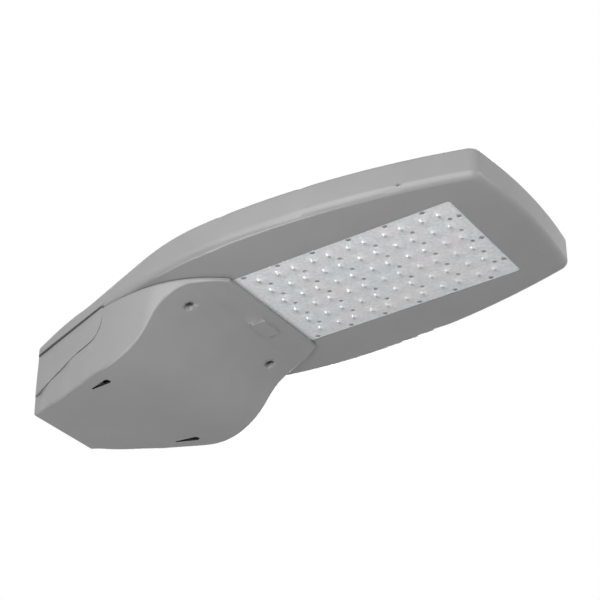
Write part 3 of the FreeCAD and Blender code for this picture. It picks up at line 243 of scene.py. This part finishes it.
FINISHES = {
    "casting": powder_coat(),
    "stainless": plain_finish("stainless", linear(150, 150, 148), 0.35, 1.0),
    "strap": plain_finish("zinc_plate", linear(182, 186, 190), 0.4, 1.0, grain=6 * MM),
    "seal": plain_finish("black_rubber", linear(38, 38, 39), 0.7, 0.0),
    "lens": moulded_sheet(),
    "board": plain_finish("white_mask", linear(236, 239, 240), 0.4, 0.0, grain=4 * MM,
                          spread=0.03),
    "emitter": plain_finish("phosphor", linear(196, 184, 120), 0.35, 0.0),
    "driver_case": plain_finish("bare_aluminium", linear(186, 187, 189), 0.4, 1.0,
                                grain=4 * MM),
    "black_plastic": plain_finish("black_plastic", linear(34, 34, 36), 0.42, 0.0),
    "pale_plastic": plain_finish("pale_plastic", linear(206, 203, 194), 0.5, 0.0),
    "brass": plain_finish("brass", linear(205, 172, 96), 0.3, 1.0),
}

PALE_SILICONE = plain_finish("pale_silicone", linear(214, 217, 218), 0.6, 0.0)
PLATED_STEEL = plain_finish("plated_steel", linear(146, 148, 150), 0.38, 0.8, grain=1 * MM)
BLACKED_STEEL = plain_finish("blacked_steel", linear(52, 52, 54), 0.45, 0.0, grain=1 * MM)
# Painted shade: a near-black coat that makes the door's slots look dark inside
SLOT_SHADE_PAINT = plain_finish("painted_slot_shade", linear(40, 40, 41), 0.7, 0.0)
# Painted shade: a dark grey coat for the shadow line under the neck's upper band
STEP_SHADE_PAINT = plain_finish("painted_step_shade", linear(72, 72, 73), 0.6, 0.0)

SLOT_OF = {part["node"]: part["material_slot"] for part in frame["record"]["subparts"]}
BODY_OF = {node: body for body, nodes in frame["record"]["behaviour"]["bodies"].items()
           for node in nodes}


# Frame nodes and their smooth copies

MERGE = 0.002 * MM
POLE_MERGE = 0.0005 * MM


def paint(thing, slot):
    """Give an object one finish all over."""
    thing.data.materials.clear()
    thing.data.materials.append(FINISHES[slot])


def dress_nodes():
    """Every frame node gets its slot's finish."""
    for node, thing in frame["nodes"].items():
        paint(thing, SLOT_OF[node])


@contextmanager
def editing(mesh):
    """The mesh as a shell that can be edited. It is written back at the end."""
    shell = bmesh.new()
    shell.from_mesh(mesh)
    yield shell
    shell.to_mesh(mesh)
    shell.free()


def put_in_scene(name, data):
    """New object at the frame's origin, from a mesh, a camera's data or a lamp's data."""
    thing = bpy.data.objects.new(name, data)
    bpy.context.scene.collection.objects.link(thing)
    return thing


def smooth(mesh, crease):
    """Smooth shading, except where faces meet at over `crease` degrees."""
    mesh.polygons.foreach_set("use_smooth", [True] * len(mesh.polygons))
    mesh.set_sharp_from_angle(angle=math.radians(crease))


def dissolve(shell, degrees):
    """Join neighbouring faces that lie in one plane to within an angle."""
    bmesh.ops.dissolve_limit(shell, angle_limit=math.radians(degrees), verts=shell.verts,
                             edges=shell.edges)


def settle_flats(mesh, level=0.999995, large=1000 * MM ** 2, tilt=math.radians(1)):
    """Keep each large level face flat right up to its rim, by a sharp edge all round it.

    A face is level and large if its normal's upright part and its area are over the first
    two limits. An edge of it turns sharp where the next face is tilted by over the third.
    """
    with editing(mesh) as shell:
        for face in shell.faces:
            if abs(face.normal.z) > level and face.calc_area() > large:
                for edge in face.edges:
                    if edge.is_manifold and edge.calc_face_angle() > tilt:
                        edge.smooth = False


def smooth_copy(node, name, crease, weight=50):
    """A merged copy of a frame node, smooth except where faces meet at over `crease` degrees.

    The larger the weight, the more a corner follows the largest of its faces.
    """
    mesh = frame["nodes"][node].data.copy()
    mesh.name = name
    with editing(mesh) as shell:
        bmesh.ops.remove_doubles(shell, verts=shell.verts, dist=MERGE)
        dissolve(shell, degrees=0.06)
    smooth(mesh, crease)
    settle_flats(mesh)
    thing = put_in_scene(name, mesh)
    weighted = thing.modifiers.new("weighted", "WEIGHTED_NORMAL")
    weighted.keep_sharp = True
    weighted.weight = weight
    paint(thing, SLOT_OF[node])
    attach(thing, BODY_OF[node])
    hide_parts(node)
    return thing


def rounded_copy(node, crease, width):
    """A smooth copy of a frame node whose creases are rounded off to a given width."""
    thing = smooth_copy(node, node + "_rounded", crease)
    with editing(thing.data) as shell:
        dissolve(shell, degrees=0.5)
    bevel = thing.modifiers.new("rounding", "BEVEL")
    bevel.limit_method = "ANGLE"
    bevel.angle_limit = math.radians(crease)
    bevel.width = width
    bevel.segments = 2
    thing.modifiers.move(1, 0)


def face_places(thing):
    """Centres and normals of a piece's faces."""
    count = len(thing.data.polygons)
    centre = np.empty(count * 3)
    facing = np.empty(count * 3)
    thing.data.polygons.foreach_get("center", centre)
    thing.data.polygons.foreach_get("normal", facing)
    return centre.reshape(-1, 3).T, facing.reshape(-1, 3).T


def paint_faces(thing, chosen, finish):
    """Give the chosen faces of a piece a second finish."""
    thing.data.materials.append(finish)
    thing.data.polygons.foreach_set("material_index", chosen.astype(np.int32))


def paint_slot_shade(door, finish, upright=0.3):
    """Upright walls of the belly's two slots, painted near-black as shade so that the slots look
    dark inside.
    """
    (x, y, z), facing = face_places(door)
    out = np.abs(y)
    beside = (np.abs(out - SLOT_CENTRE_Y) < SLOT_REACH) & (out < SLOT_OUTER_Y)
    slots = (x > SLOT_REAR) & (x < SLOT_FRONT) & beside & (z < SLOT_TOP)
    paint_faces(door, slots & (np.abs(facing[2]) < upright), finish)


def paint_step_shade(housing, finish, downward=-0.15):
    """Painted shade on the underside of the neck's upper band, whose height falls evenly towards
    the lamp end.
    """
    (x, y, z), facing = face_places(housing)
    along = (x - STEP_REAR) / (STEP_FRONT - STEP_REAR)
    low = STEP_LOW_REAR - STEP_LOW_FALL * along
    depth = STEP_DEPTH_REAR - STEP_DEPTH_FALL * along
    beside = (x < STEP_FRONT) & (np.abs(y) > STEP_INNER_Y)
    band = beside & (z > low - STEP_MARGIN) & (z < low + depth)
    paint_faces(housing, band & (facing[2] < downward), finish)


# New pieces

def islands(node):
    """The separate solids of a node, each as an array of its points."""
    shell = bmesh.new()
    shell.from_mesh(frame["nodes"][node].data)
    bmesh.ops.remove_doubles(shell, verts=shell.verts, dist=MERGE)
    seen = set()
    solids = []
    for start in shell.verts:
        if start in seen:
            continue
        reached = {start}
        fresh = {start}
        while fresh:
            fresh = {edge.other_vert(vert) for vert in fresh for edge in vert.link_edges}
            fresh -= reached
            reached |= fresh
        seen |= reached
        solids.append(np.array([tuple(vert.co) for vert in reached]))
    shell.free()
    return solids


def centres(node):
    """Plan centre of each separate solid of a node."""
    return [((solid.min(axis=0) + solid.max(axis=0)) / 2)[:2] for solid in islands(node)]


def make_piece(name, points, faces, finish, node, crease=40, replace=False):
    """Closed piece from arrays of points and faces, in a given finish, on the body of a node.

    Points that coincide, such as those of a sweep's poles, are merged, and every face is
    turned outwards.
    """
    mesh = bpy.data.meshes.new(name)
    mesh.from_pydata(points.tolist(), [], faces)
    smooth(mesh, crease)
    mesh.materials.append(finish)
    with editing(mesh) as shell:
        bmesh.ops.remove_doubles(shell, verts=shell.verts, dist=POLE_MERGE)
        bmesh.ops.recalc_face_normals(shell, faces=shell.faces)
    thing = put_in_scene(name, mesh)
    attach(thing, BODY_OF[node])
    if replace:
        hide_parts(node)
    return thing


def ring_faces(rings, around, copies):
    """Quads between neighbouring rings of a closed sweep, for several copies of it."""
    ring, step, copy = np.meshgrid(np.arange(rings - 1), np.arange(around),
                                   np.arange(copies), indexing="ij")
    start = (copy * rings + ring) * around
    following = (step + 1) % around
    quads = np.stack([start + step, start + around + step,
                      start + around + following, start + following], axis=-1)
    return quads.reshape(-1, 4)


def hexagon_reach(angle):
    """Distance from a hexagon's middle to its side, in units of its corner radius:
    cos 30 degrees over the cosine of the angle to the nearest side's middle."""
    sixth = math.pi / 3
    return math.cos(sixth / 2) / np.cos(np.mod(angle, sixth) - sixth / 2)


def screw_profile(solid, middle, socket, depth, crown):
    """Radii and heights of the rings of one screw that stands on its head.

    They go from the middle of the socket's floor down its wall and its bevelled mouth,
    out over the head, whose rim is a quarter circle, in under the head to the shank, and
    up to the bevelled tip. The socket is a share of the head's radius. Its depth and the
    rim's rounding are shares of the head's height.
    """
    low, high = solid[:, 2].min(), solid[:, 2].max()
    out = np.hypot(solid[:, 0] - middle[0], solid[:, 1] - middle[1])
    head = out.max()
    seat = solid[out > HEAD_RIM * head, 2].max()
    shank = out[solid[:, 2] > high - TIP_ZONE].max()
    hexagon = socket * head
    floor = low + depth * (seat - low)
    rounding = crown * (seat - low)
    bend = np.linspace(0, QUARTER_TURN, 5)
    radii = np.concatenate([[0, hexagon, hexagon, SOCKET_MOUTH * hexagon],
                            head - rounding + rounding * np.sin(bend),
                            [head, shank, shank, shank - TIP_BEVEL, 0]])
    heights = np.concatenate([[floor, floor, low + MOUTH_BEVEL, low],
                              low + rounding * (1 - np.cos(bend)),
                              [seat, seat, high - TIP_BEVEL, high, high]])
    return radii, heights


def socket_screws(node, finish, socket, depth, crown, around=36, socket_rings=3):
    """Screws of a node, each a closed sweep with a crowned head and a six-sided socket.

    Each point of a screw's profile goes once round its axis. The radius of a ring is a
    constant, times the hexagon's reach where the ring belongs to the socket.
    """
    angle = np.arange(around) / around * 2 * math.pi
    screws = []
    for solid in islands(node):
        middle = (solid.min(axis=0) + solid.max(axis=0)) / 2
        radii, heights = screw_profile(solid, middle, socket, depth, crown)
        six_sided = (np.arange(len(radii)) < socket_rings)[:, None]
        reach = radii[:, None] * np.where(six_sided, hexagon_reach(angle), 1.0)
        rings = np.stack([middle[0] + reach * np.cos(angle), middle[1] + reach * np.sin(angle),
                          np.broadcast_to(heights[:, None], reach.shape)], axis=-1)
        screws.append(rings.reshape(-1, 3))
    faces = ring_faces(len(radii), around, len(screws))[:, ::-1]
    make_piece(node + "_turned", np.concatenate(screws), faces.tolist(), finish, node,
               replace=True)


def crowded_lines(low, high, places, reach=3.4 * MM, fine=0.55 * MM, coarse=1.7 * MM,
                  samples=6000):
    """Grid lines from low to high, `fine` apart near any of the places, else `coarse`.

    The lines are equal steps along the running sum of how many lines each sample wants.
    """
    along = np.linspace(low, high, samples)
    away = np.abs(along[:, None] - np.array(places)[None, :]).min(axis=1)
    wanted = np.where(away < reach, 1 / fine, 1 / coarse)
    total = np.concatenate([[0], np.cumsum((wanted[1:] + wanted[:-1]) / 2 * np.diff(along))])
    return np.interp(np.linspace(0, total[-1], int(total[-1]) + 1), total, along)


def fade(away, inner, outer):
    """1 within the inner radius and 0 past the outer one.

    Between them it is 1 less the square of t times 3 - 2 t, where t goes from 0 to 1.
    """
    t = np.clip((away - inner) / (outer - inner), 0, 1)
    return 1 - t * t * (3 - 2 * t)


def round_corners(x, y, box_low, box_high, radius, least=1e-9):
    """Pull a rectangle's corners in to quarter circles.

    Within a corner's square each point keeps its direction from the arc's centre, and its
    distance becomes the larger of its two coordinates. A distance under the least one
    counts as the least, so that nothing is divided by 0.
    """
    middle = (box_low + box_high) / 2
    half = (box_high - box_low) / 2 - radius
    a = np.maximum(np.abs(x - middle[0]) - half[0], 0)
    b = np.maximum(np.abs(y - middle[1]) - half[1], 0)
    pull = np.maximum(a, b) / np.maximum(np.hypot(a, b), least)
    return (x - np.sign(x - middle[0]) * a * (1 - pull),
            y - np.sign(y - middle[1]) * b * (1 - pull))


def lens_relief(x, y, leds, wells, seats):
    """Depth of the moulded optics below the flat sheet, and how dark the images painted into its
    colour are.

    Each LED has a wide low swell, its depth times 1 - s squared, and on it an oval
    bead, its depth times the square of 1 - s squared, where s is the distance from
    the middle over the swell's or bead's half size. A Gaussian dent sits in the middle.
    A flat-bottomed well goes up into the sheet at each board screw, and a seat at each
    edge screw.
    """
    drop = np.zeros_like(x)
    painted_image = np.zeros_like(x)
    for cx, cy in leds:
        swell = ((x - cx) / SWELL_HALF[0]) ** 2 + ((y - cy) / SWELL_HALF[1]) ** 2
        bead = ((x - cx) / BEAD_HALF[0]) ** 2 + ((y - cy) / BEAD_HALF[1]) ** 2
        away = np.hypot(x - cx, (y - cy) * DENT_OVAL)
        drop = np.maximum(drop, SWELL_DEPTH * np.clip(1 - swell, 0, 1))
        drop += BEAD_DEPTH * np.clip(1 - bead, 0, 1) ** 2
        drop -= DENT_DEPTH * np.exp(-(away / DENT_RADIUS) ** 2)
        # The LED's image through its lens, painted into the sheet's colour
        painted_image = np.maximum(painted_image, LED_IMAGE_LEVEL * fade(away, *LED_IMAGE))
    for cx, cy in wells:
        away = np.hypot(x - cx, y - cy)
        drop -= WELL_DEPTH * fade(away, *WELL_WALL)
        # The screw head and the shade in its well, painted into the sheet's colour
        painted_image = np.maximum(painted_image, WELL_IMAGE_LEVEL * fade(away, *WELL_IMAGE))
    for cx, cy in seats:
        away = np.hypot(x - cx, y - cy)
        drop = np.where(away < SEAT_WALL[1], -SEAT_DEPTH * fade(away, *SEAT_WALL), drop)
    return drop, painted_image


def lens_sheet():
    """The moulded lens panel: a relief below, a rounded rim, upright sides and a flat top.

    Its underside lies at the sheet's height less the relief, and near the rim it rises by
    a quarter circle of the rim's radius.
    """
    low, high = (np.array(corner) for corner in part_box("lens_plate"))
    leds, wells, seats = (centres(node) for node in ("led_chips", "board_screws", "lens_screws"))
    spots = np.array(leds + wells + seats).round(5)
    lines_x, lines_y = (
        crowded_lines(low[axis], high[axis], [*set(spots[:, axis]), low[axis], high[axis]])
        for axis in (0, 1))
    grid_x, grid_y = np.meshgrid(lines_x, lines_y, indexing="ij")
    x, y = round_corners(grid_x, grid_y, low[:2], high[:2], PANEL_CORNER)
    drop, painted_image = lens_relief(x, y, leds, wells, seats)
    edge = np.minimum(np.minimum(grid_x - low[0], high[0] - grid_x),
                      np.minimum(grid_y - low[1], high[1] - grid_y))
    t = 1 - np.clip(edge / PANEL_RIM, 0, 1)
    z = low[2] - drop * (1 - t) + PANEL_RIM * (1 - np.sqrt(1 - t ** 2))

    rows, columns = x.shape
    index = np.arange(rows * columns).reshape(rows, columns)
    quads = np.stack([index[:-1, :-1], index[:-1, 1:], index[1:, 1:], index[1:, :-1]],
                     axis=-1).reshape(-1, 4)
    ring = np.concatenate([index[:-1, 0], index[-1, :-1], index[:0:-1, -1], index[0, :0:-1]])
    top = rows * columns + np.arange(len(ring))
    walls = np.stack([ring, np.roll(ring, -1), np.roll(top, -1), top], axis=-1)
    under = np.stack([x, y, z], axis=-1).reshape(-1, 3)
    lid = under[ring].copy()
    lid[:, 2] = high[2]
    sheet = make_piece("lens_sheet", np.concatenate([under, lid]),
                       quads.tolist() + walls.tolist() + [top.tolist()], FINISHES["lens"],
                       "lens_plate", crease=50, replace=True)
    # The painted images go on the sheet as a point attribute
    sheet.data.attributes.new("painted_image", "FLOAT", "POINT").data.foreach_set(
        "value", np.concatenate([painted_image.ravel(), np.zeros(len(ring))]))


def driver_caps():
    """End caps of the LED driver's case, pressed over it at both ends.

    Each cap is a rounded rectangle carried along the case. It sets in towards both ends
    of the cap by a quarter circle, so that the cap's rims are round.
    """
    low, high = (np.array(corner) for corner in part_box("led_driver"))
    flange_length, flange_thickness = 11.0 * MM, 2.4 * MM
    length, wall, corner, rim = 13.0 * MM, 0.6 * MM, 3.2 * MM, 0.6 * MM
    box_low = np.array([low[0] - wall, low[2] - wall])
    box_high = np.array([high[0] + wall, high[2] - flange_thickness])
    middle, half = (box_low + box_high) / 2, (box_high - box_low) / 2

    arc = np.linspace(0, 1, 6)
    turn = ((np.arange(4)[:, None] + arc) * QUARTER_TURN).ravel()
    side_x = np.repeat([1, -1, -1, 1], len(arc))
    side_z = np.repeat([1, 1, -1, -1], len(arc))
    bend = np.linspace(0, QUARTER_TURN, 4)
    set_in, run_in = rim * (1 - np.sin(bend)), rim * (1 - np.cos(bend))
    inset = np.concatenate([set_in, set_in[::-1]])[:, None]
    along = np.concatenate([run_in, length - run_in[::-1]])
    x = middle[0] + side_x * (half[0] - corner) + np.cos(turn) * (corner - inset)
    z = middle[1] + side_z * (half[1] - corner) + np.sin(turn) * (corner - inset)

    end = (high[1] - low[1]) / 2 - flange_length + wall
    caps = []
    for side in (1, -1):
        y = (high[1] + low[1]) / 2 + side * (end - along)
        caps.append(np.stack([x, np.broadcast_to(y[:, None], x.shape), z], axis=-1))
    around = len(turn)
    faces = ring_faces(len(along), around, len(caps)).tolist()
    for copy in range(len(caps)):
        first = copy * len(along) * around
        last = first + (len(along) - 1) * around
        faces.append(list(range(first, first + around)))
        faces.append(list(range(last + around - 1, last - 1, -1)))
    make_piece("driver_caps", np.concatenate(caps).reshape(-1, 3), faces,
               FINISHES["black_plastic"], "led_driver")


# Camera, lamps and floor

def aim(thing, away, distance):
    """Put a camera or a lamp at a distance from the object, looking back at it."""
    thing.location = VIEW_AIM + away * distance
    thing.rotation_mode = "QUATERNION"
    thing.rotation_quaternion = (-away).to_track_quat("-Z", "Y")


def set_camera():
    """Camera at the photograph's azimuth and elevation."""
    data = bpy.data.cameras.new("camera")
    data.lens = VIEW_LENS
    data.clip_end = 50
    camera = put_in_scene("camera", data)
    level = math.cos(VIEW_ELEVATION)
    aim(camera, Vector((math.sin(VIEW_AZIMUTH) * level, -math.cos(VIEW_AZIMUTH) * level,
                        math.sin(VIEW_ELEVATION))), VIEW_DISTANCE)
    bpy.context.scene.camera = camera


def soft_light(name, direction, distance, size, power, gloss_only=False):
    """Square lamp that shines on the object from a direction."""
    data = bpy.data.lights.new(name, "AREA")
    data.size = size
    data.energy = power
    lamp = put_in_scene(name, data)
    lamp.visible_diffuse = not gloss_only
    aim(lamp, Vector(direction).normalized(), distance)


def seen_strength(tree, lighting, looked_at):
    """One strength for rays that light, another for camera, glossy and transmission rays."""
    ray = tree.nodes.new("ShaderNodeLightPath")
    level = ray.outputs["Is Camera Ray"]
    for kind in ("Is Glossy Ray", "Is Transmission Ray"):
        larger = tree.nodes.new("ShaderNodeMath")
        larger.operation = "MAXIMUM"
        tree.links.new(level, larger.inputs[0])
        tree.links.new(ray.outputs[kind], larger.inputs[1])
        level = larger.outputs[0]
    strength = tree.nodes.new("ShaderNodeMapRange")
    strength.inputs["To Min"].default_value = lighting
    strength.inputs["To Max"].default_value = looked_at
    tree.links.new(level, strength.inputs["Value"])
    return strength.outputs["Result"]


def set_world():
    """White backdrop for the eye and for gloss, an even grey for lighting."""
    world = bpy.data.worlds.new("studio")
    bpy.context.scene.world = world
    world.use_nodes = True
    tree = world.node_tree
    backdrop = tree.nodes["Background"]
    backdrop.inputs["Color"].default_value = (1, 1, 1, 1)
    tree.links.new(seen_strength(tree, AMBIENT, 1.0), backdrop.inputs["Strength"])


def lay_floor():
    """Pale floor that keeps the object's shadow and glows a little to the eye."""
    mesh = bpy.data.meshes.new("floor")
    mesh.from_pydata([(x * FLOOR_HALF, y * FLOOR_HALF, FLOOR_Z)
                      for x, y in ((-1, -1), (1, -1), (1, 1), (-1, 1))], [], [(0, 1, 2, 3)])
    pale = plain_finish("pale_floor", linear(225, 225, 225), 0.8, 0.0, grain=50 * MM,
                        spread=0.01)
    shader = pale.node_tree.nodes["Principled BSDF"]
    shader.inputs["Emission Color"].default_value = (1, 1, 1, 1)
    pale.node_tree.links.new(seen_strength(pale.node_tree, 0.0, FLOOR_GLOW),
                             shader.inputs["Emission Strength"])
    mesh.materials.append(pale)
    put_in_scene("floor", mesh)


# The object

dress_nodes()
housing = smooth_copy("upper_housing", "housing_casting", crease=28, weight=90)
door = smooth_copy("driver_door", "door_casting", crease=28, weight=90)
frame["nodes"]["lens_gasket"].data.materials[0] = PALE_SILICONE
# Painted shade on the walls of the door's slots
paint_slot_shade(door, SLOT_SHADE_PAINT)
# Painted shade under the neck's upper band
paint_step_shade(housing, STEP_SHADE_PAINT)
lens_sheet()
socket_screws("lens_screws", PLATED_STEEL, socket=0.42, depth=0.5, crown=0.35)
socket_screws("door_screws", BLACKED_STEEL, socket=0.42, depth=0.75, crown=0.25)
for inner_screws in ("board_screws", "driver_screws", "surge_screws",
                     "terminal_block_screws", "ground_screw"):
    socket_screws(inner_screws, FINISHES["stainless"], socket=0.45, depth=0.7, crown=0.5)
socket_screws("terminal_screws", FINISHES["brass"], socket=0.5, depth=0.4, crown=0.15)
driver_caps()
for inner_device in ("led_driver", "surge_protector", "terminal_block"):
    rounded_copy(inner_device, crease=30, width=0.7 * MM)
for fitting in ("arm_clamp_rear", "arm_clamp_front", "clamp_bolts", "screw_retainers",
                "hinge_pins", "wire_grommet"):
    rounded_copy(fitting, crease=35, width=0.3 * MM)
smooth_copy("arm_seal", "arm_seal_ring", crease=35)

# The studio

set_camera()
lay_floor()
set_world()
soft_light("key", (0.16, -0.945, -0.30), distance=1.0, size=1.2, power=11.5)
soft_light("front", (0.973, 0.218, 0.0), distance=2.4, size=1.2, power=17)
soft_light("rim", (-0.47, -0.81, -0.35), distance=2.4, size=0.35, power=1.5)
soft_light("sparkle", (-0.47, 0.26, -0.84), distance=2.0, size=0.3, power=9, gloss_only=True)
soft_light("top", (0.09, 0.49, 0.87), distance=2.4, size=1.2, power=17)
soft_light("back", (-0.55, 0.75, 0.35), distance=2.4, size=1.4, power=36)
bpy.context.scene.view_settings.view_transform = "Standard"
